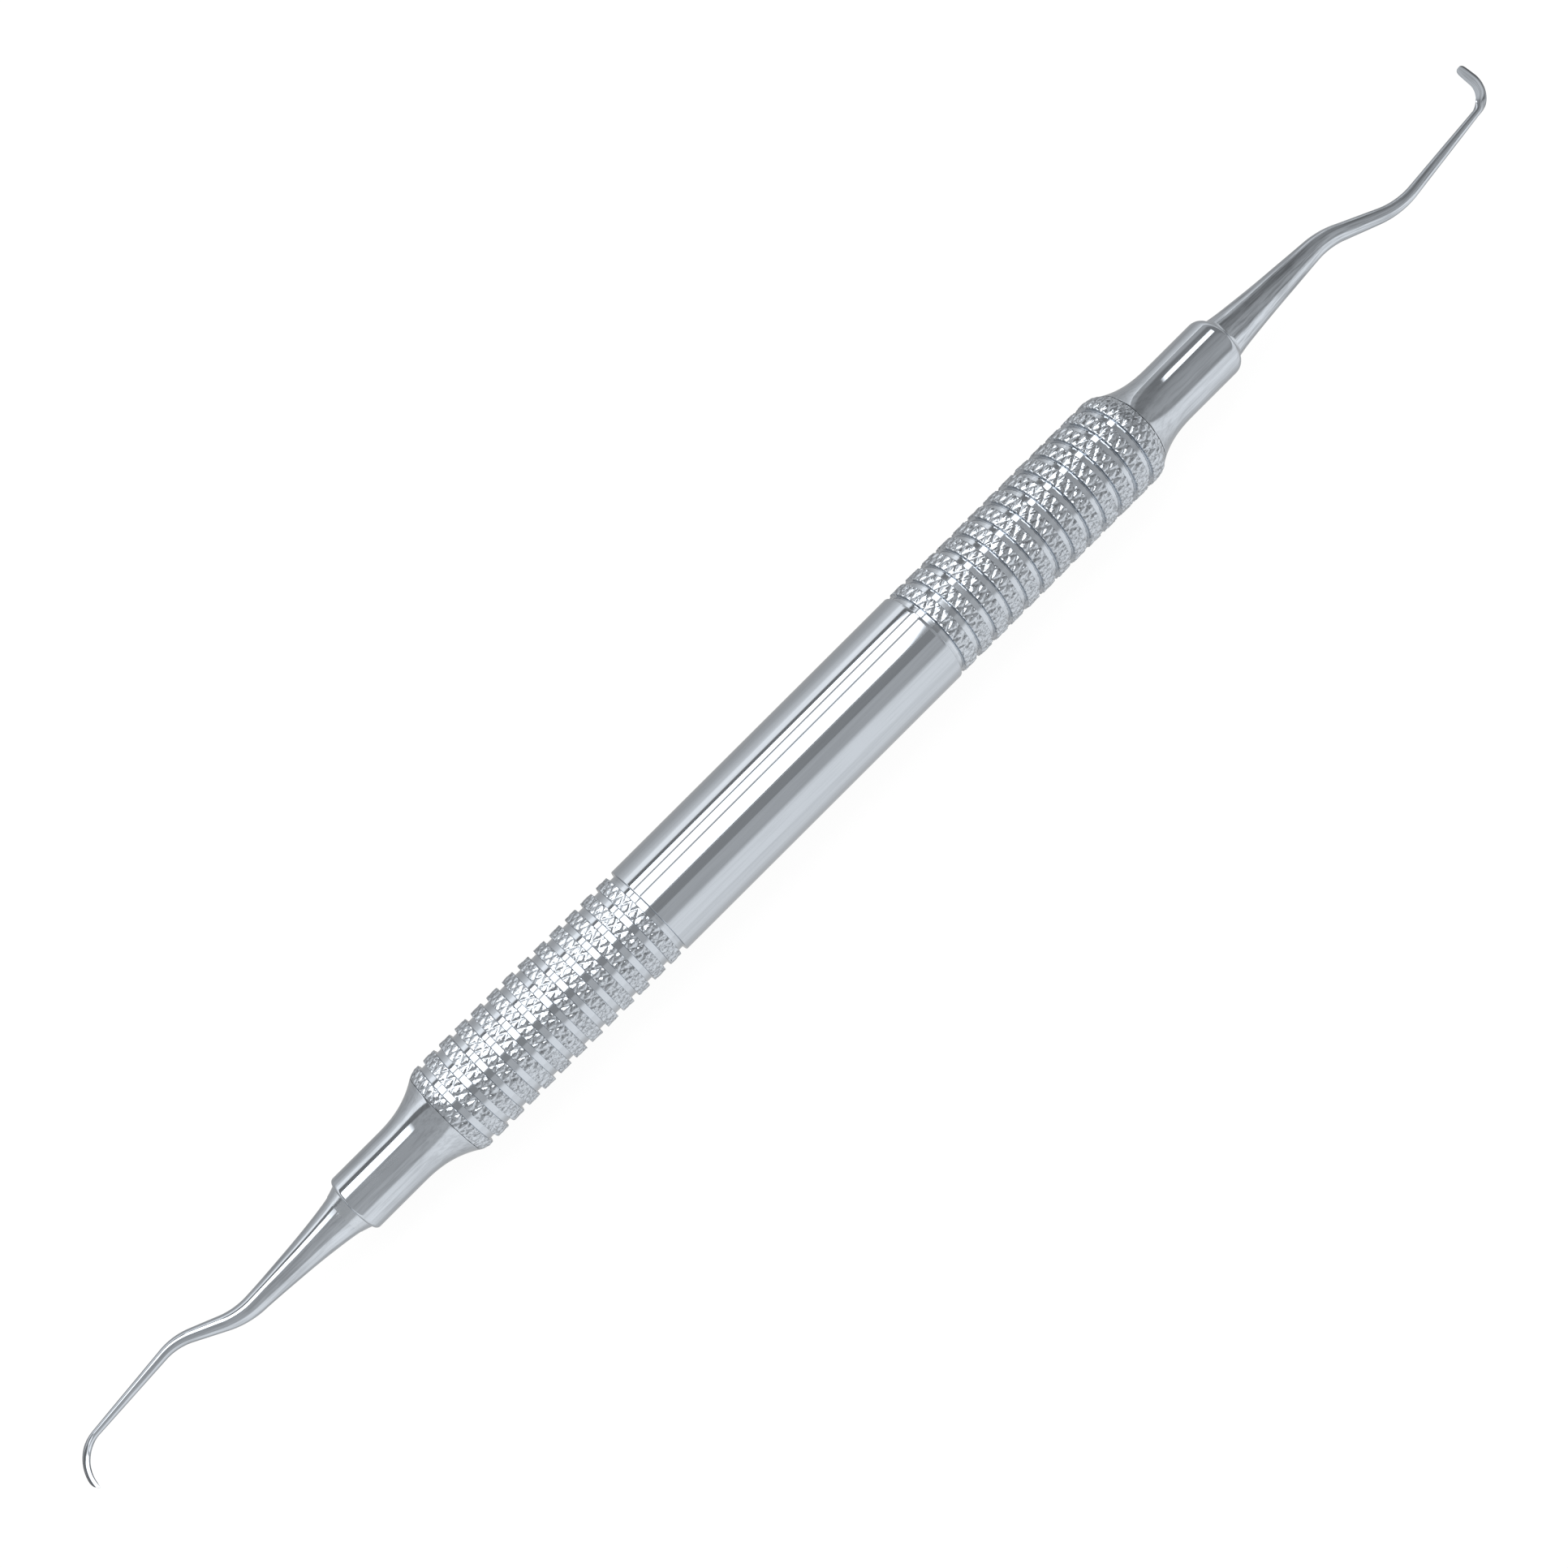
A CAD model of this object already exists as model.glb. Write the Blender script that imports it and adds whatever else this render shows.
# Looks of the double-ended hand scaler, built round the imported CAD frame.
# Lengths in the mesh code are millimetres and become metres in put().
import math

import bpy
import numpy as np
from mathutils import Matrix, Vector


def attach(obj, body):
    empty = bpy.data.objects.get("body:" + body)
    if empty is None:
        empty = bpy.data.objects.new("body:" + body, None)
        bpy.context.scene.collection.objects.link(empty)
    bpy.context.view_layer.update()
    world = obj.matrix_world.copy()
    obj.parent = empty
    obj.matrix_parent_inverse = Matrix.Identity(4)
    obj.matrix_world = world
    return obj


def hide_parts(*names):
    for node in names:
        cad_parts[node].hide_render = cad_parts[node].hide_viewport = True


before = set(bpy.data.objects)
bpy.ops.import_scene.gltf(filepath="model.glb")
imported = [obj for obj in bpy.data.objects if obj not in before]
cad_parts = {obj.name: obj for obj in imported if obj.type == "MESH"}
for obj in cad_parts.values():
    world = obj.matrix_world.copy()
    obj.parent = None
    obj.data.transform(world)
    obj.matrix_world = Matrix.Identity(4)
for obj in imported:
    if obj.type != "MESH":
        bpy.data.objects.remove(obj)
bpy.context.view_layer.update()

# ---------------------------------------------------------------- dimensions
TUBE_R = 4.75
UPPER_HALF, UPPER_CHAMFER = 43.1, 1.25
LOWER_HALF, LOWER_CHAMFER = 42.35, 0.8
BORE_R = 3.7
GROOVES = 13
PITCH = 1.947
FIRST = 17.41
HALF_W = 0.325
FLOOR_R = TUBE_R - 0.44
NECK_R = 2.975
UPPER_FLARE, LOWER_FLARE, FLARE_RISE = 48.2, 48.0, 1.02
TANG_R = 1.5
TANG_LEN = 8.0
SPIGOT = 6.0
FIT = 0.015
BEND_X, BEND_R = 65.78, 8.0
UPPER_MOUTH, LOWER_MOUTH = 54.2, 53.75
UPPER_FORM = (6.1, 85.065, 2.15, 96.0, 1.61, UPPER_MOUTH, 22.5, 3.74, 8.0)
LOWER_FORM = (4.4, 83.69, 3.63, 85.0, 0.62, LOWER_MOUTH, 24.5, 3.00, 6.0)
UPPER_RADII = (1.06, 0.95, 1.02, 0.25, 4, 0.83, 0.71, 0.545, 0.345, 0.46)
LOWER_RADII = (1.03, 1.00, 1.20, 0.36, 5, 0.78, 0.645, 0.51, 0.35, 0.42)
BLADE_DEPTH = 0.55
UPPER_BLADE = (0.54, 0.64, 0.55, 0, 0, 0, 1, -0.95, 0.60, 0.20)
LOWER_BLADE = (0.42, 0.355, 0.29, 1.00, 1.2, 0.55, 0.35, -0.60, 0.05, 0.20)

# knurl: starts round the tube, turns of a start per mm, samples per diamond
KNURLS = 32
KNURL_K = 0.61
CELL = 12
SEGS = KNURLS * CELL
KNURL_DEPTH = 0.150


def mix(a, b, q):
    return a + (b - a) * q


def smooth(q):
    q = np.clip(q, 0.0, 1.0)
    return q * q * (3 - 2 * q)


# ---------------------------------------------------------------- mesh tools
def put(name, verts, faces, material, replaces, sharp=72.0, attributes=None):
    """A closed mesh from millimetre points; faces are wound outward."""
    verts = np.asarray(verts, float) * 0.001
    volume = 0.0
    quads = np.array([f for f in faces if len(f) == 4], int).reshape(-1, 4)
    tris = [np.array([f for f in faces if len(f) == 3], int).reshape(-1, 3)]
    if len(quads):
        tris += [quads[:, [0, 1, 2]], quads[:, [0, 2, 3]]]
    tris = np.concatenate(tris)
    a, b, c = verts[tris[:, 0]], verts[tris[:, 1]], verts[tris[:, 2]]
    volume = float(np.einsum("ij,ij->i", a, np.cross(b, c)).sum() / 6)
    if volume < 0:
        faces = [tuple(reversed(f)) for f in faces]
    mesh = bpy.data.meshes.new(name)
    mesh.from_pydata([tuple(v) for v in verts], [], faces)
    mesh.validate()
    mesh.update()
    mesh.polygons.foreach_set("use_smooth", np.ones(len(mesh.polygons), bool))
    mesh.set_sharp_from_angle(angle=math.radians(sharp))
    for key, values in (attributes or {}).items():
        layer = mesh.attributes.new(key, "FLOAT", "POINT")
        layer.data.foreach_set("value", np.asarray(values, np.float32))
    mesh.materials.append(material)
    ob = bpy.data.objects.new(name, mesh)
    bpy.context.scene.collection.objects.link(ob)
    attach(ob, "root")
    for node in replaces:
        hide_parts(node)
    return ob


def ring_points(x, r, segs):
    """One ring round the X axis; angle 0 is up (+Z) and grows towards -Y."""
    phi = 2 * math.pi * np.arange(segs) / segs
    r = np.broadcast_to(np.asarray(r, float), (segs,))
    return np.stack([np.full(segs, float(x)), -r * np.sin(phi), r * np.cos(phi)], 1)


def skin(rings, closed):
    """Faces between successive rings of equal size; open runs get pole fans."""
    n, segs = len(rings), len(rings[0])
    verts = np.concatenate(rings)
    faces = []
    pairs = n if closed else n - 1
    j = np.arange(segs)
    k = (j + 1) % segs
    for i in range(pairs):
        a, b = i * segs, ((i + 1) % n) * segs
        faces += list(zip((a + j).tolist(), (a + k).tolist(), (b + k).tolist(), (b + j).tolist()))
    if not closed:
        first, last = rings[0].mean(0), rings[-1].mean(0)
        verts = np.concatenate([verts, [first, last]])
        p, q = n * segs, n * segs + 1
        e = (n - 1) * segs
        faces += [(int(x), p, int(y)) for x, y in zip(j, k)]
        faces += [(e + int(y), q, e + int(x)) for x, y in zip(j, k)]
        # fans are wound opposite to the sides above
        faces[-2 * segs:] = [tuple(reversed(f)) for f in faces[-2 * segs:]]
    return verts, faces


# ---------------------------------------------------------------- knurl
rng = np.random.RandomState(7)
CELL_RAND = rng.uniform(-1, 1, (KNURLS, 97))
LINE_RAND = rng.uniform(-1, 1, (2, KNURLS * 4))
WAVES = [(rng.randint(1, 9), rng.uniform(-2.2, 2.2), rng.uniform(0, 6.28)) for _ in range(10)]
FINE = [(rng.randint(-110, 110), rng.uniform(-21, 21), rng.uniform(0, 6.28)) for _ in range(30)]


def knurl_cut(x, phi, psi_a, psi_b):
    """Depth of the diamond knurl below the crest at x and the angles phi, and the share of the crest height left."""
    warp = sum(math.cos(b * x + c) * np.cos(a * phi) + math.sin(b * x + c) * np.sin(a * phi) for a, b, c in WAVES)
    warp = warp * 0.016
    a = (KNURLS * phi - 2 * math.pi * KNURL_K * x - psi_a) / (2 * math.pi) + warp
    b = (KNURLS * phi + 2 * math.pi * KNURL_K * x - psi_b) / (2 * math.pi) - warp * 0.8
    da = np.abs((a + 0.5) % 1.0 - 0.5)
    db = np.abs((b + 0.5) % 1.0 - 0.5)
    ia, ib = np.floor(a).astype(int), np.floor(b).astype(int)
    na, nb = np.floor(a + 0.5).astype(int), np.floor(b + 0.5).astype(int)
    sa = np.clip((da - 0.02) / 0.23, 0, 1)
    sb = np.clip((db - 0.02) / 0.23, 0, 1)
    sa, sb = sa * (1.6 - 0.6 * sa), sb * (1.6 - 0.6 * sb)
    h = 0.50 * np.minimum(sa, sb) + 0.22 * sa * sb + 0.28 * 4 * da * db
    crest = CELL_RAND[ia % KNURLS, (ib - ia) % 97]
    groove = 0.5 * (LINE_RAND[0, na % KNURLS] * (1 - sa) + LINE_RAND[1, nb % KNURLS] * (1 - sb))
    fine = sum(np.cos(p * phi + q * x + r) for p, q, r in FINE) / math.sqrt(len(FINE))
    cut = KNURL_DEPTH * (1 - h) * (1 + 0.22 * groove) + 0.040 * (0.5 + 0.5 * crest) * h
    cut = cut + 0.011 * (1.5 + fine)
    return np.maximum(cut, 0.0), h


def flare_r(x, end):
    return NECK_R + FLARE_RISE * ((end - x) / 4.9) ** 2.5


def chamfer_r(x, half, length, end_r):
    return float(np.interp(abs(x), [half - length, half - 0.45 * length, half],
                           [TUBE_R, end_r + (TUBE_R - end_r) * 0.68, end_r]))


def groove_rings(centre):
    """Ring places and radii across one turned groove; None means the knurled top."""
    w = HALF_W
    half = [(w + 0.03, None, 0.0), (w, None, 0.03), (w - 0.012, FLOOR_R + 0.02, 0), (w - 0.03, FLOOR_R, 0),
            (w - 0.045, FLOOR_R, 0)]
    return ([(centre - d, r, drop) for d, r, drop in half] + [(centre, FLOOR_R, 0)]
            + [(centre + d, r, drop) for d, r, drop in reversed(half)])


def grip(sign, psi_a, psi_b, half, length, end_r):
    """Rings of one grip, from the middle of its first groove to the end of the tube."""
    phi0 = (psi_a + psi_b) / (2 * KNURLS)
    x_off = (psi_b - psi_a) / (4 * math.pi * KNURL_K)
    dx = 1.0 / (KNURL_K * CELL)
    phi = 2 * math.pi * np.arange(SEGS) / SEGS + phi0
    places = []
    for i in range(GROOVES):
        g = groove_rings(FIRST + i * PITCH)
        places += g[5:] if i == 0 else g
        lo = FIRST + i * PITCH + HALF_W + 0.03
        hi = FIRST + (i + 1) * PITCH - HALF_W - 0.03 if i < GROOVES - 1 else half - 0.06
        first = math.ceil((sign * (lo if sign > 0 else hi) - x_off) / dx)
        last = math.floor((sign * (hi if sign > 0 else lo) - x_off) / dx)
        cols = [sign * (x_off + c * dx) for c in range(first, last + 1)]
        places += [(x, None, 0.0) for x in sorted(cols) if lo + 0.025 < x < hi - 0.025]
    places += [(half - 0.06, None, 0.0), (half, None, 0.03)]
    rings, height, teeth = [], [], []
    for x, r, drop in places:
        teeth.append(np.full(SEGS, float(r is None)))
        if r is None:
            cut, h = knurl_cut(sign * x, phi, psi_a, psi_b)
            fade = float(np.clip((half - x) / 0.35, 0.25, 1.0))
            r = chamfer_r(x, half, length, end_r) - cut * fade - drop
            height.append(h)
        else:
            height.append(np.full(SEGS, 1.0))
        r = np.broadcast_to(r, (SEGS,))
        rings.append(np.stack([np.full(SEGS, sign * x), -r * np.sin(phi), r * np.cos(phi)], 1))
    for x in (half, FIRST):
        rings.append(np.stack([np.full(SEGS, sign * x), -BORE_R * np.sin(phi), BORE_R * np.cos(phi)], 1))
        height.append(np.full(SEGS, 0.5))
        teeth.append(np.zeros(SEGS))
    return rings, {"relief": np.concatenate(height), "teeth": np.concatenate(teeth)}


def barrel():
    e = FIRST - HALF_W
    half = [(FIRST, FLOOR_R), (e + 0.045, FLOOR_R), (e + 0.03, FLOOR_R), (e + 0.012, FLOOR_R + 0.02),
            (e, TUBE_R - 0.055), (e - 0.03, TUBE_R - 0.012), (e - 0.08, TUBE_R), (e - 0.3, TUBE_R)]
    run = [(x, TUBE_R) for x in np.linspace(FIRST - 1.2, -(FIRST - 1.2), 15)]
    path = half + run + [(-x, r) for x, r in reversed(half)]
    rings = [ring_points(x, r, SEGS) for x, r in path]
    rings += [ring_points(-FIRST, BORE_R, SEGS), ring_points(FIRST, BORE_R, SEGS)]
    return rings


# ---------------------------------------------------------------- cones
def cone_rings(sign, mouth, round_x, round_r, half, flare, segs=256):
    spig = BORE_R - FIT
    x0 = half - SPIGOT
    sock = mouth - TANG_LEN - 0.2
    sock_r = TANG_R + FIT
    path = [(sock, sock_r * 0.5), (sock, sock_r * 0.98), (sock + 0.03, sock_r), (mouth - 0.03, sock_r), (mouth, sock_r + 0.02)]
    for i in range(13):
        a = math.radians(90 - 90 * i / 12)
        path.append((mouth - round_x + round_x * math.sin(a), NECK_R - round_r + round_r * math.cos(a)))
    path += [(x, NECK_R) for x in np.linspace(mouth - round_x - 0.05, flare, 14)]
    path += [(x, flare_r(x, flare)) for x in np.linspace(flare, half + 0.05, 60)[1:]]
    path += [(half + 0.01, flare_r(half, flare) - 0.02), (half + 0.01, spig)]
    path += [(half - 0.05, spig), (x0 + 0.3, spig), (x0, spig - 0.3), (x0, 1.2)]
    rings = [ring_points(x, r, segs) for x, r in path]
    for r in rings:
        r[:, 0] *= sign
    return rings


# ---------------------------------------------------------------- tips
def turn(p, a, b, r):
    a, b = math.radians(a), math.radians(b)
    if b > a:
        return (p[0] + r * (math.sin(b) - math.sin(a)), p[1] + r * (math.cos(a) - math.cos(b)))
    return (p[0] + r * (math.sin(a) - math.sin(b)), p[1] + r * (math.cos(b) - math.cos(a)))


def ahead(p, a, l):
    return (p[0] + l * math.cos(math.radians(a)), p[1] + l * math.sin(math.radians(a)))


def centre_line(f):
    lean, hook_x, hook_r, hook_end, nose, mouth, bend, rise, r2 = f
    p0 = (BEND_X, 0.0)
    p1 = turn(p0, 0, bend, BEND_R)
    p2 = ahead(p1, bend, rise)
    p3 = turn(p2, bend, -lean, r2)
    l4 = (hook_x - p3[0]) / math.cos(math.radians(lean))
    p4 = ahead(p3, -lean, l4)
    p5 = turn(p4, -lean, -hook_end, hook_r)
    line = []
    for i in range(30):
        q = i / 30
        line.append((mouth + (BEND_X - mouth) * q, 0.0, 0.0, 0, q))
    for i in range(16):
        q = i / 16
        p = turn(p0, 0, bend * q, BEND_R) if q else p0
        line.append((p[0], p[1], bend * q, 1, q))
    for i in range(8):
        q = i / 8
        p = ahead(p1, bend, rise * q)
        line.append((p[0], p[1], bend, 2, q))
    for i in range(22):
        q = i / 22
        h = bend - (bend + lean) * q
        p = turn(p2, bend, h, r2) if q else p2
        line.append((p[0], p[1], h, 3, q))
    for i in range(30):
        q = i / 30
        p = ahead(p3, -lean, l4 * q)
        line.append((p[0], p[1], -lean, 4, q))
    for i in range(64):
        q = i / 64
        h = -lean - (hook_end - lean) * q
        p = turn(p4, -lean, h, hook_r) if q else p4
        line.append((p[0], p[1], h, 5, q))
    for i in range(31):
        q = math.sin(math.radians(3 * i))
        p = ahead(p5, -hook_end, nose * q)
        line.append((p[0], p[1], -hook_end, 6, q))
    return line


def taper_r(r, q):
    return r[0] + r[1] * (1 - q) ** r[2] + r[3] * (1 - q) ** r[4]


def section(r, b, part, q):
    """Half width in the bend plane, half height and blade share."""
    if part == 0:
        t = taper_r(r, q)
        return t, t, 0.0
    if part == 1:
        t = mix(r[0], r[5], q)
        return t, t, 0.0
    if part == 2:
        t = mix(r[5], r[6], q)
        return t, t, 0.0
    if part == 3:
        t = mix(r[6], r[7], q)
        return t, t, 0.0
    if part == 4:
        return mix(r[7], r[8], q), mix(r[7], r[9], q), 0.0
    if part == 5:
        k = float(smooth(min(1.0, q * 2)))
        return mix(mix(r[8], b[0], k), b[1], q), mix(r[9], BLADE_DEPTH, k), k
    e = mix(1, math.sqrt(max(0.05, 1 - q ** 9)), b[6])
    return mix(b[1], b[2], q) * mix(1, e, 0.75), BLADE_DEPTH * mix(1, 0.8, q) * mix(1, e, 0.5), 1.0


def face_edge(b, part, q):
    """Where the ground face meets the flank, as a share of the half width."""
    return mix(b[7], b[8], float(smooth(min(1.0, q / 0.65)))) if part == 5 else b[8]


def bevel_share(b, part, q):
    return b[3] * (1 - 0.7 * q) if part == 5 else b[3] * 0.3 * (1 - q)


def blade_point(t, w, edge, bevel, slope, a):
    """One point of a blade's outline at a degrees: ground face on top, rounded flank outside, keel below."""
    zi = w * 0.25
    xb = edge * t
    zb = zi - slope * (xb + t)
    zc = -w * 0.35
    i = 0.5 * bevel * t
    if a > 180:
        u = (a - 180) / 180
        return (mix(mix(-t, 0.3 * t, u), mix(0.3 * t, t, u), u),
                mix(mix(zi - i, -1.75 * w, u), mix(-1.75 * w, zc, u), u))
    if a >= 156:
        u = (a - 156) / 24
        run = i + 0.02 * t
        return mix(-t + run, -t, u), mix(zi - slope * run, zi - i, u)
    if a >= 84:
        u = (a - 84) / 72
        run = i + 0.02 * t
        return mix(xb, -t + run, u), mix(zb, zi - slope * run, u)
    u = a / 84
    xc = mix(xb, t, 0.6)
    zk = zb - 0.35 * (xc - xb)
    return mix(mix(t, xc, u), mix(xc, xb, u), u), mix(mix(zc, zk, u), mix(zk, zb, u), u)


def path_at(f, left):
    """Place and heading on the hook's centre line, left mm short of the toe."""
    lean, hook_x, hook_r, hook_end, nose, mouth, bend, rise, r2 = f
    p3 = turn(ahead(turn((BEND_X, 0.0), 0, bend, BEND_R), bend, rise), bend, -lean, r2)
    p4 = ahead(p3, -lean, (hook_x - p3[0]) / math.cos(math.radians(lean)))
    if left <= nose:
        p = ahead(turn(p4, -lean, -hook_end, hook_r), -hook_end, nose - left)
        return p[0], p[1], -hook_end
    h = min(-lean - 0.01, -hook_end + math.degrees((left - nose) / hook_r))
    p = turn(p4, -lean, h, hook_r)
    return p[0], p[1], h


def tip_rings(f, radii, blade, mx, my, wobble, segs=120):
    """Rings from the tang, through the shank, to the blade's toe. mx and my mirror the bend plane."""
    rings, face, length = [], [], []
    mouth = f[5]
    degrees = 360.0 * np.arange(segs) / segs
    ang = np.radians(degrees)
    c, s = np.cos(ang), np.sin(ang)
    # 1 on the ground face, below 0 on the flank and the bevel beside it
    on_face = np.where((degrees >= 84) & (degrees <= (156 if blade[3] > 0 else 180)), 1.0,
                       np.where(degrees < 186, -1.1, 0.0))
    for x, r in ((mouth - TANG_LEN, TANG_R * 0.9), (mouth - TANG_LEN + 0.15, TANG_R), (mouth - 0.02, TANG_R)):
        rings.append(np.stack([np.full(segs, x), r * c, r * s], 1))
        face.append(np.zeros(segs))
        length.append(np.full(segs, x - mouth))
    run = 0.0
    last = None
    arc = f[2] * math.radians(f[3] - f[0])
    for x, y, h, part, q in centre_line(f):
        t, w, k = section(radii, blade, part, q)
        if last is not None:
            run += math.hypot(x - last[0], y - last[1])
        last = (x, y)
        if k > 0:
            t *= 1 - 0.015 * k
        pts = np.array([blade_point(t, w, face_edge(blade, part, q), bevel_share(blade, part, q), blade[9], a)
                        for a in degrees])
        out = mix(t * c, pts[:, 0], k)
        up = mix(w * s, pts[:, 1], k)
        # hand-ground shank: slow unevenness, never outside the true section
        uneven = wobble * (1 - k) * min(1.0, run / 1.5) * (
            0.5 + 0.22 * np.cos(2 * ang + 0.35 * run) + 0.16 * np.cos(3 * ang - 0.55 * run + 1.1) + 0.12 * math.sin(1.3 * run))
        out = out * (1 - uneven)
        up = up * (1 - uneven)
        left = f[4] * (1 - q) if part == 6 else f[4] + (1 - q) * arc if part == 5 else 99.0
        if blade[4] and left < 2.0:
            back = (1 - left / 2.0) ** 2 * (blade[4] * (out + t) + blade[5] * (up + w))
            at_back = [path_at(f, left + float(b)) for b in back]
            px, py = np.array([p[0] for p in at_back]), np.array([p[1] for p in at_back])
            hr = np.radians([p[2] for p in at_back])
        else:
            px, py, hr = x, y, math.radians(h)
        rings.append(np.stack([px - np.sin(hr) * out, py + np.cos(hr) * out, up], 1))
        face.append(on_face * k if part < 6 or q < 1 else np.full(segs, -1.4))
        length.append(np.full(segs, run))
    for r in rings:
        r[:, 0] *= mx
        r[:, 1] *= my
    around = np.tile(degrees / 360.0, len(rings))
    attributes = {"face": np.concatenate(face + [[0.0, -1.4]]), "run": np.concatenate(length + [[0.0, run]]),
                  "around_c": np.concatenate([np.cos(2 * math.pi * around), [0.0, 0.0]]),
                  "around_s": np.concatenate([np.sin(2 * math.pi * around), [0.0, 0.0]])}
    return rings, attributes


def solder_rings(sign, mouth, radii, bead, seed, segs=192):
    """A thin fillet of solder that follows the shank, a little uneven where it ran out."""
    phi = 2 * math.pi * np.arange(segs) / segs
    local = np.random.RandomState(seed)
    uneven = sum(local.uniform(0.3, 1) * np.cos(n * phi + local.uniform(0, 6.28)) for n in (2, 3, 5, 8, 13)) / 5

    def shank(x):
        return taper_r(radii, (x - mouth) / (BEND_X - mouth)) + FIT

    path = []
    for i in range(13):
        q = i / 12
        x = mouth + 0.006 + (bead - 0.02 + 0.015 * (uneven - 0.5)) * q
        path.append((x, shank(x) + 0.125 * (1 - q) ** 1.3 * (0.93 + 0.07 * uneven) + 0.004))
    for i in range(12, -1, -1):
        q = i / 12
        x = mouth + 0.006 + (bead - 0.02 + 0.015 * (uneven - 0.5)) * q
        path.append((x, shank(x)))
    rings = []
    for x, r in path:
        r = np.broadcast_to(np.asarray(r, float), (segs,))
        x = np.broadcast_to(np.asarray(x, float), (segs,))
        rings.append(np.stack([sign * x, -r * np.sin(phi), r * np.cos(phi)], 1))
    return rings


# ---------------------------------------------------------------- materials
STEEL = (0.500, 0.535, 0.577)


class Nodes:
    """Short hand for building a node tree."""

    def __init__(self, tree):
        self.t = tree
        self.n = tree.nodes
        self.l = tree.links

    def add(self, kind, **props):
        node = self.n.new(kind)
        for key, value in props.items():
            setattr(node, key, value)
        return node

    def math(self, op, a, b=None, c=None, clamp=False):
        node = self.add("ShaderNodeMath", operation=op)
        node.use_clamp = clamp
        for i, v in enumerate((a, b, c)):
            if v is None:
                continue
            if isinstance(v, (int, float)):
                node.inputs[i].default_value = v
            else:
                self.l.new(v, node.inputs[i])
        return node.outputs[0]

    def ramp(self, fac, stops, interpolation="LINEAR"):
        node = self.add("ShaderNodeValToRGB")
        r = node.color_ramp
        r.interpolation = interpolation
        while len(r.elements) > 1:
            r.elements.remove(r.elements[-1])
        r.elements[0].position = stops[0][0]
        r.elements[0].color = self.col(stops[0][1])
        for pos, value in stops[1:]:
            e = r.elements.new(pos)
            e.color = self.col(value)
        self.l.new(fac, node.inputs[0])
        return node.outputs[0]

    @staticmethod
    def col(v):
        return (v, v, v, 1.0) if isinstance(v, (int, float)) else (*v, 1.0)


def material(name):
    mat = bpy.data.materials.new(name)
    mat.use_nodes = True
    mat.node_tree.nodes.clear()
    k = Nodes(mat.node_tree)
    out = k.add("ShaderNodeOutputMaterial")
    bsdf = k.add("ShaderNodeBsdfPrincipled")
    bsdf.inputs["Metallic"].default_value = 1.0
    k.l.new(bsdf.outputs[0], out.inputs[0])
    return mat, k, bsdf


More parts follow.
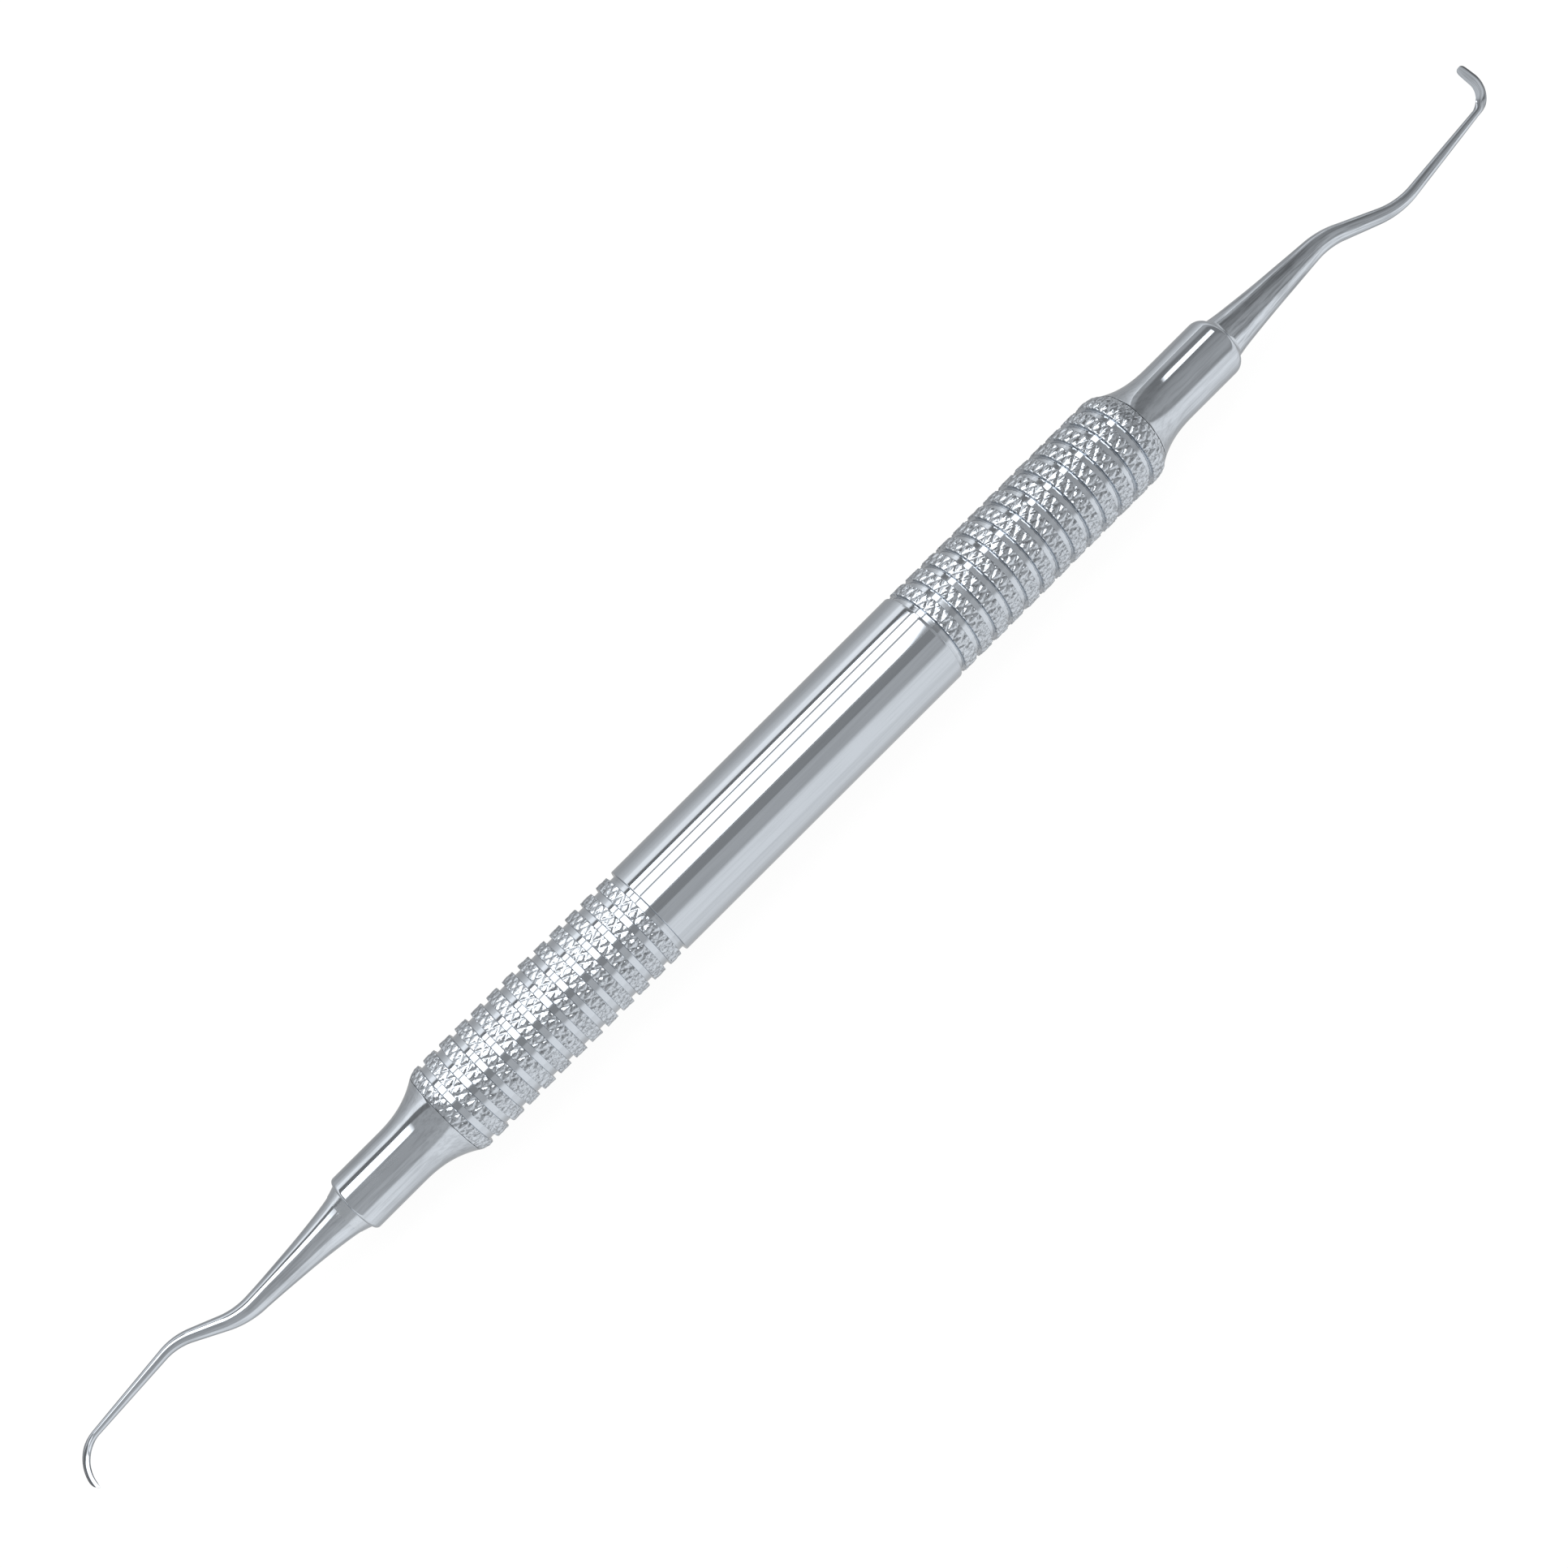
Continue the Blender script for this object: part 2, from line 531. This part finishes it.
def steel(name, base, rough, stretch, scratch, tone=0.05, rough_vary=0.35, relief=None, streaks=False, face_gain=0.0, grain=0.0):
    """Polished steel: slow tone change, fine stretched grinding lines, smears in the roughness and a faint bump."""
    mat, k, bsdf = material(name)
    coord = k.add("ShaderNodeTexCoord")
    mapping = k.add("ShaderNodeMapping")
    if streaks:
        # along the swept centre line and round the section
        along = k.add("ShaderNodeCombineXYZ")
        for i, key in enumerate(("run", "around_c", "around_s")):
            source = k.add("ShaderNodeAttribute", attribute_name=key)
            k.l.new(source.outputs["Fac"], along.inputs[i])
        k.l.new(along.outputs[0], mapping.inputs["Vector"])
        mapping.inputs["Scale"].default_value = stretch
    else:
        mapping.inputs["Scale"].default_value = tuple(1000.0 * s for s in stretch)
        k.l.new(coord.outputs["Object"], mapping.inputs["Vector"])
    lines = k.add("ShaderNodeTexNoise")
    lines.inputs["Scale"].default_value = 1.0
    lines.inputs["Detail"].default_value = 3.0
    lines.inputs["Roughness"].default_value = 0.6
    k.l.new(mapping.outputs[0], lines.inputs["Vector"])
    slow = k.add("ShaderNodeTexNoise")
    slow.inputs["Scale"].default_value = 170.0
    slow.inputs["Detail"].default_value = 2.0
    k.l.new(coord.outputs["Object"], slow.inputs["Vector"])
    smear = k.add("ShaderNodeTexNoise")
    smear.inputs["Scale"].default_value = 900.0
    smear.inputs["Detail"].default_value = 4.0
    smear.inputs["Distortion"].default_value = 0.6
    k.l.new(coord.outputs["Object"], smear.inputs["Vector"])
    # colour
    shade = k.math("MULTIPLY_ADD", slow.outputs[0], tone, 1.0 - tone * 0.5)
    shade = k.math("MULTIPLY", shade, k.math("MULTIPLY_ADD", lines.outputs[0], tone * 0.6, 1.0 - tone * 0.3))
    if grain:
        # darker polishing marks
        marks = k.ramp(lines.outputs[0], [(0.38, 1.0), (0.54, 0.0)])
        shade = k.math("MULTIPLY", shade, k.math("MULTIPLY_ADD", marks, -grain, 1.0 + 0.3 * grain))
    if relief:
        height = k.add("ShaderNodeAttribute", attribute_name=relief)
        low = k.math("MULTIPLY_ADD", height.outputs["Fac"], 0.12, 0.96)
        shade = k.math("MULTIPLY", shade, low)
        # fine dark pits between the rolled teeth
        teeth = k.add("ShaderNodeAttribute", attribute_name="teeth")
        pits = k.math("MULTIPLY", k.ramp(lines.outputs[0], [(0.40, 0.40), (0.50, 0.0)]), teeth.outputs["Fac"])
        shade = k.math("MULTIPLY", shade, k.math("SUBTRACT", 1.0, pits))
    if streaks:
        ground = k.add("ShaderNodeAttribute", attribute_name="face")
        shade = k.math("MULTIPLY", shade, k.math("MULTIPLY_ADD", ground.outputs["Fac"], face_gain, 1.0))
    tint = k.add("ShaderNodeMix", data_type="RGBA", blend_type="MULTIPLY")
    tint.inputs["Factor"].default_value = 1.0
    tint.inputs[6].default_value = (*base, 1.0)
    grey = k.add("ShaderNodeCombineColor")
    for i in range(3):
        k.l.new(shade, grey.inputs[i])
    k.l.new(grey.outputs[0], tint.inputs[7])
    k.l.new(tint.outputs[2], bsdf.inputs["Base Color"])
    # roughness
    r = k.math("MULTIPLY_ADD", smear.outputs[0], rough * rough_vary, rough * (1 - rough_vary * 0.5))
    r = k.math("ADD", r, k.math("MULTIPLY", lines.outputs[0], rough * 0.3))
    if relief:
        r = k.math("ADD", r, k.math("MULTIPLY_ADD", height.outputs["Fac"], -0.05, 0.06))
    k.l.new(r, bsdf.inputs["Roughness"])
    # bump
    bump = k.add("ShaderNodeBump")
    bump.inputs["Strength"].default_value = scratch
    bump.inputs["Distance"].default_value = 0.00002
    if relief:
        k.l.new(k.math("MULTIPLY_ADD", teeth.outputs["Fac"], scratch - 0.02, 0.02), bump.inputs["Strength"])
    k.l.new(lines.outputs[0], bump.inputs["Height"])
    k.l.new(bump.outputs[0], bsdf.inputs["Normal"])
    return mat


M_BARREL = steel("steel_polished", STEEL, 0.05, (0.12, 4.0, 4.0), 0.008, grain=0.05)
M_KNURL = steel("steel_knurled", STEEL, 0.06, (4.5, 4.5, 4.5), 0.75, tone=0.14, relief="relief")
M_CONE = steel("steel_turned", STEEL, 0.06, (0.25, 3.5, 3.5), 0.015, tone=0.20, grain=0.12)
M_TIP_UPPER = steel("steel_ground_upper", STEEL, 0.07, (0.30, 6.0, 6.0), 0.35, tone=0.50, streaks=True, face_gain=0.5, grain=0.30)
M_TIP_LOWER = steel("steel_ground_lower", STEEL, 0.07, (0.30, 6.0, 6.0), 0.10, tone=0.30, streaks=True, face_gain=0.5, grain=0.16)
M_SOLDER = steel("silver_solder", (0.520, 0.555, 0.595), 0.13, (2.5, 2.5, 2.5), 0.35, tone=0.25)

# ---------------------------------------------------------------- pieces
LOWER_PSI = (0.09, 1.745)
UPPER_PSI = (1.83, 0.524)

rings, relief = grip(1, *UPPER_PSI, UPPER_HALF, UPPER_CHAMFER, flare_r(UPPER_HALF, UPPER_FLARE))
v, f = skin(rings, True)
put("handle_grip_upper", v, f, M_KNURL, ["handle_tube"], attributes=relief)
rings, relief = grip(-1, *LOWER_PSI, LOWER_HALF, LOWER_CHAMFER, flare_r(LOWER_HALF, LOWER_FLARE))
v, f = skin(rings, True)
put("handle_grip_lower", v, f, M_KNURL, ["handle_tube"], attributes=relief)
v, f = skin(barrel(), True)
put("handle_barrel", v, f, M_BARREL, ["handle_tube"], sharp=50)

v, f = skin(cone_rings(1, UPPER_MOUTH, 0.8, 0.6, UPPER_HALF, UPPER_FLARE), False)
put("end_cone_upper", v, f, M_CONE, ["upper_end_cone"], sharp=40)
v, f = skin(cone_rings(-1, LOWER_MOUTH, 0.4, 0.42, LOWER_HALF, LOWER_FLARE), False)
put("end_cone_lower", v, f, M_CONE, ["lower_end_cone"], sharp=40)

rings, attributes = tip_rings(UPPER_FORM, UPPER_RADII, UPPER_BLADE, 1, -1, 0.022)
v, f = skin(rings, False)
put("tip_upper", v, f, M_TIP_UPPER, ["upper_tip"], sharp=17, attributes=attributes)
rings, attributes = tip_rings(LOWER_FORM, LOWER_RADII, LOWER_BLADE, -1, 1, 0.016)
v, f = skin(rings, False)
put("tip_lower", v, f, M_TIP_LOWER, ["lower_tip"], sharp=17, attributes=attributes)

v, f = skin(solder_rings(1, UPPER_MOUTH, UPPER_RADII, 0.36, 3), True)
put("solder_ring_upper", v, f, M_SOLDER, ["upper_solder_ring"], sharp=60)
v, f = skin(solder_rings(-1, LOWER_MOUTH, LOWER_RADII, 1.1, 5), True)
put("solder_ring_lower", v, f, M_SOLDER, ["lower_solder_ring"], sharp=60)

# ---------------------------------------------------------------- studio
scene = bpy.context.scene
scene.view_settings.view_transform = "Standard"
scene.view_settings.look = "None"
scene.view_settings.exposure = 0.0
scene.view_settings.gamma = 1.0
scene.cycles.max_bounces = 8
scene.cycles.glossy_bounces = 6
scene.cycles.caustics_reflective = False
scene.cycles.caustics_refractive = False

# floor
FLOOR_Z = -0.00476
mesh = bpy.data.meshes.new("floor")
mesh.from_pydata([(-3, -3, FLOOR_Z), (3, -3, FLOOR_Z), (3, 3, FLOOR_Z), (-3, 3, FLOOR_Z)], [], [(0, 1, 2, 3)])
floor = bpy.data.objects.new("floor", mesh)
scene.collection.objects.link(floor)
mat = bpy.data.materials.new("paper")
mat.use_nodes = True
mat.node_tree.nodes.clear()
k = Nodes(mat.node_tree)
out = k.add("ShaderNodeOutputMaterial")
geo = k.add("ShaderNodeNewGeometry")
xyz = k.add("ShaderNodeSeparateXYZ")
k.l.new(geo.outputs["Position"], xyz.inputs[0])
# what polished steel sees of the paper: duller close to the handle on the light's side
u = k.math("MULTIPLY_ADD", xyz.outputs["Y"], 1 / 0.6, 0.5, clamp=True)


def at(mm):
    return 0.5 + mm / 600.0


seen = k.ramp(u, [(at(-300), 0.515), (at(-18), 0.515), (at(-13), 0.42), (at(-8), 0.31), (at(0), 0.25), (at(8), 0.25),
                  (at(13), 0.27), (at(24), 0.36), (at(40), 0.43), (at(110), 0.52), (at(290), 0.66)])
glow = k.add("ShaderNodeEmission")
k.l.new(seen, glow.inputs["Color"])
glow.inputs["Strength"].default_value = 2.0
white = k.add("ShaderNodeEmission")
white.inputs["Strength"].default_value = 0.93
diff = k.add("ShaderNodeBsdfDiffuse")
diff.inputs["Color"].default_value = (0.12, 0.12, 0.12, 1)
plain = k.add("ShaderNodeAddShader")
k.l.new(white.outputs[0], plain.inputs[0])
k.l.new(diff.outputs[0], plain.inputs[1])
path = k.add("ShaderNodeLightPath")
pick = k.add("ShaderNodeMixShader")
k.l.new(path.outputs["Is Camera Ray"], pick.inputs[0])
k.l.new(glow.outputs[0], pick.inputs[1])
k.l.new(plain.outputs[0], pick.inputs[2])
k.l.new(pick.outputs[0], out.inputs[0])
mesh.materials.append(mat)

# the room: white to the camera, soft grey tones to the steel
world = bpy.data.worlds.new("studio")
scene.world = world
world.use_nodes = True
world.node_tree.nodes.clear()
k = Nodes(world.node_tree)
out = k.add("ShaderNodeOutputWorld")
coord = k.add("ShaderNodeTexCoord")
xyz = k.add("ShaderNodeSeparateXYZ")
k.l.new(coord.outputs["Generated"], xyz.inputs[0])
# angle from straight up, in the plane across the handle; positive towards -Y
rho = k.math("ARCTAN2", k.math("MULTIPLY", xyz.outputs["Y"], -1.0), xyz.outputs["Z"])
u = k.math("MULTIPLY_ADD", rho, 1 / (2 * math.pi), 0.5, clamp=True)


def deg(d):
    return 0.5 + d / 360.0


room = k.ramp(u, [(deg(-100), 0.60), (deg(-85), 0.72), (deg(-79), 0.68), (deg(-76.6), 0.13), (deg(-62), 0.13),
                  (deg(-58), 0.26), (deg(14), 0.27), (deg(20), 0.315), (deg(44), 0.30), (deg(52), 0.55), (deg(62), 0.57),
                  (deg(100), 0.57)])
# angle out of that plane, along the handle; beyond the +X end the room is duller
xi = k.math("ARCTAN2", xyz.outputs["X"], k.math("SQRT", k.math("SUBTRACT", 1.0, k.math("MULTIPLY", xyz.outputs["X"], xyz.outputs["X"]))))
v = k.math("MULTIPLY_ADD", xi, 1 / math.pi, 0.5, clamp=True)
far = k.ramp(v, [(0.0, 0.0), (0.5 + 16 / 180, 0.0), (0.5 + 24 / 180, 1.0), (1.0, 1.0)])
far_tone = k.ramp(u, [(deg(-100), 0.34), (deg(-90), 0.29), (deg(-76), 0.26), (deg(-69), 0.15), (deg(-31), 0.16),
                      (deg(-21), 0.216), (deg(0), 0.25), (deg(22), 0.28), (deg(39), 0.23), (deg(44), 0.24),
                      (deg(52), 0.53), (deg(62), 0.58), (deg(100), 0.58)])
blend = k.add("ShaderNodeMix", data_type="RGBA")
k.l.new(far, blend.inputs["Factor"])
k.l.new(room, blend.inputs[6])
k.l.new(far_tone, blend.inputs[7])
room = blend.outputs[2]
lit = k.add("ShaderNodeBackground")
k.l.new(room, lit.inputs["Color"])
lit.inputs["Strength"].default_value = 2.0
plain = k.add("ShaderNodeBackground")
plain.inputs["Color"].default_value = (1, 1, 1, 1)
plain.inputs["Strength"].default_value = 1.0
path = k.add("ShaderNodeLightPath")
pick = k.add("ShaderNodeMixShader")
k.l.new(path.outputs["Is Camera Ray"], pick.inputs[0])
k.l.new(lit.outputs[0], pick.inputs[1])
k.l.new(plain.outputs[0], pick.inputs[2])
k.l.new(pick.outputs[0], out.inputs[0])

# soft light on the +Y side: a panel with two cloth seams, crossed by a long strip
LIGHT_DIST = 0.250
LIGHT_TILT = math.radians(39)
normal = Vector((0, math.sin(LIGHT_TILT), math.cos(LIGHT_TILT)))
upward = Vector((0, -math.cos(LIGHT_TILT), math.sin(LIGHT_TILT)))


def across(rho):
    return LIGHT_DIST * math.tan(math.radians(rho) + LIGHT_TILT)


x0, x1, v0, v1 = -0.300, 0.200, across(-68.5), across(-6.5)
corners = [normal * LIGHT_DIST + upward * v + Vector((x, 0, 0)) for x, v in ((x0, v0), (x1, v0), (x1, v1), (x0, v1))]
mesh = bpy.data.meshes.new("softbox")
mesh.from_pydata([tuple(c) for c in corners], [], [(0, 1, 2, 3)])
box = bpy.data.objects.new("softbox", mesh)
scene.collection.objects.link(box)
box.visible_camera = False
box.visible_diffuse = False
box.visible_shadow = False
mat = bpy.data.materials.new("softbox")
mat.use_nodes = True
mat.node_tree.nodes.clear()
k = Nodes(mat.node_tree)
out = k.add("ShaderNodeOutputMaterial")
geo = k.add("ShaderNodeNewGeometry")
xyz = k.add("ShaderNodeSeparateXYZ")
k.l.new(geo.outputs["Position"], xyz.inputs[0])
height = k.math("ADD", k.math("MULTIPLY", xyz.outputs["Y"], upward.y), k.math("MULTIPLY", xyz.outputs["Z"], upward.z))
rise = k.math("MULTIPLY_ADD", height, 1 / (v1 - v0), -v0 / (v1 - v0), clamp=True)
wide = k.math("MULTIPLY_ADD", xyz.outputs["X"], 1 / (x1 - x0), -x0 / (x1 - x0), clamp=True)


def vpos(rho):
    return (across(rho) - v0) / (v1 - v0)


def xpos(mm):
    return (mm * 0.001 - x0) / (x1 - x0)


seams = k.ramp(rise, [(0.0, 1.0), (vpos(-58.8), 1.0), (vpos(-57.6), 0.0), (vpos(-54.2), 0.0), (vpos(-53.0), 1.0),
                      (vpos(-38.4), 1.0), (vpos(-37.2), 0.04), (vpos(-33.6), 0.04), (vpos(-32.4), 1.0), (1.0, 1.0)])
panel = k.ramp(wide, [(xpos(-67), 0.0), (xpos(-61), 1.0), (xpos(82), 1.0), (xpos(88), 0.0)])
low_v = k.ramp(rise, [(vpos(-62.0), 0.0), (vpos(-60.6), 1.0), (vpos(-36.0), 1.0), (vpos(-34.4), 0.0)])
low_x = k.ramp(wide, [(xpos(-215), 0.0), (xpos(-150), 1.0), (xpos(-66), 1.0), (xpos(-61), 0.0)])
high_v = k.ramp(rise, [(vpos(-54.2), 0.0), (vpos(-52.8), 1.0), (vpos(-39.6), 1.0), (vpos(-38.2), 0.0)])
high_x = k.ramp(wide, [(xpos(82), 0.0), (xpos(87), 1.0), (xpos(160), 1.0), (xpos(188), 0.0)])
strip = k.math("MAXIMUM", k.math("MULTIPLY", low_v, low_x), k.math("MULTIPLY", high_v, high_x))
shape = k.math("MAXIMUM", k.math("MULTIPLY", panel, seams), strip)
glow = k.add("ShaderNodeEmission")
k.l.new(k.math("MULTIPLY_ADD", shape, 3.1, 0.5), glow.inputs["Strength"])
through = k.add("ShaderNodeBsdfTransparent")
pick = k.add("ShaderNodeMixShader")
k.l.new(k.math("GREATER_THAN", shape, 0.02), pick.inputs[0])
k.l.new(through.outputs[0], pick.inputs[1])
k.l.new(glow.outputs[0], pick.inputs[2])
k.l.new(pick.outputs[0], out.inputs[0])
mesh.materials.append(mat)

# a gentle key light for the paper; the steel gets its picture from the softbox above
data = bpy.data.lights.new("key", "AREA")
data.shape = "RECTANGLE"
data.size, data.size_y = 0.5, 0.4
data.energy = 1.6
key = bpy.data.objects.new("key", data)
scene.collection.objects.link(key)
key.matrix_world = Matrix.Translation(normal * 0.5) @ Matrix(
    (Vector((1, 0, 0)), normal.cross(Vector((1, 0, 0))), normal)).transposed().to_4x4()
key.visible_camera = False
key.visible_glossy = False

# a white card held over the ground face of the lower blade, seen by that tip alone
data = bpy.data.lights.new("blade_card", "AREA")
data.shape = "RECTANGLE"
data.size, data.size_y = 0.11, 0.11
data.energy = 1.1 * math.pi * data.size * data.size_y
card = bpy.data.objects.new("blade_card", data)
scene.collection.objects.link(card)
towards = Vector((-0.66, 0.19, 0.72)).normalized()
side = towards.cross(Vector((0, 1, 0))).normalized()
card.matrix_world = Matrix.Translation(Vector((-0.086, 0, 0)) + towards * 0.2) @ Matrix(
    (side, towards.cross(side), towards)).transposed().to_4x4()
card.visible_camera = False
lit_only = bpy.data.collections.new("blade_card_receivers")
lit_only.objects.link(bpy.data.objects["tip_lower"])
card.light_linking.receiver_collection = lit_only

# the dark front of the camera, which the polished steel shows as a dark stripe
mesh = bpy.data.meshes.new("camera_front")
z = 0.182
mesh.from_pydata([(-0.064, -0.052, z), (0.070, -0.052, z), (0.070, 0.0095, z), (-0.064, 0.0095, z)], [], [(0, 1, 2, 3)])
card = bpy.data.objects.new("camera_front", mesh)
scene.collection.objects.link(card)
card.visible_camera = False
card.visible_diffuse = False
card.visible_shadow = False
mat = bpy.data.materials.new("camera_front")
mat.use_nodes = True
mat.node_tree.nodes.clear()
k = Nodes(mat.node_tree)
out = k.add("ShaderNodeOutputMaterial")
dark = k.add("ShaderNodeEmission")
dark.inputs["Strength"].default_value = 0.37
k.l.new(dark.outputs[0], out.inputs[0])
mesh.materials.append(mat)

# ---------------------------------------------------------------- camera
PX = 0.0716                     # mm to one pixel at the handle, on a 1932 pixel frame
SIDE = 1932.0
F_PX, THETA, X0_PX, S_P = 2450.0, 0.0147, 347.2, -344.0
AXIS0 = math.radians(44.8825)
AXIS = AXIS0 + 0.0003
ex = Vector((math.cos(THETA), 0, math.sin(THETA)))
ez = Vector((-math.sin(THETA), 0, math.cos(THETA)))
ey = Vector((0, 1, 0))
right = math.cos(AXIS) * ex - math.sin(AXIS) * ey
up = math.sin(AXIS) * ex + math.cos(AXIS) * ey
cam_data = bpy.data.cameras.new("camera")
cam = bpy.data.objects.new("camera", cam_data)
scene.collection.objects.link(cam)
place = Vector((-X0_PX * math.cos(THETA) - F_PX * math.sin(THETA), 0, -X0_PX * math.sin(THETA) + F_PX * math.cos(THETA))) * (PX * 0.001)
cam.matrix_world = Matrix.Translation(place) @ Matrix((right, up, ez)).transposed().to_4x4()
cam_data.sensor_width = 36.0
cam_data.lens = 36.0 * F_PX / SIDE
cam_data.clip_start = 0.01
cam_data.clip_end = 20.0
t_p = -0.197
px = 965.950 + S_P * math.cos(AXIS0) + t_p * math.sin(AXIS0) + 0.5
py = 955.950 - S_P * math.sin(AXIS0) + t_p * math.cos(AXIS0) + 0.5
cam_data.shift_x = 0.5 - px / SIDE
cam_data.shift_y = py / SIDE - 0.5
# the lens shift belongs to this standpoint only; from anywhere else the camera looks straight ahead
for prop, value in (("shift_x", cam_data.shift_x), ("shift_y", cam_data.shift_y)):
    drv = cam_data.driver_add(prop).driver
    drv.type = "SCRIPTED"
    for axis in "XYZ":
        var = drv.variables.new()
        var.name = axis.lower()
        var.type = "TRANSFORMS"
        var.targets[0].id = cam
        var.targets[0].transform_type = "LOC_" + axis
        var.targets[0].transform_space = "WORLD_SPACE"
    drv.expression = "%.6f if abs(x - (%.6f)) + abs(y - (%.6f)) + abs(z - (%.6f)) < 0.001 else 0.0" % (value, *place)
scene.camera = cam
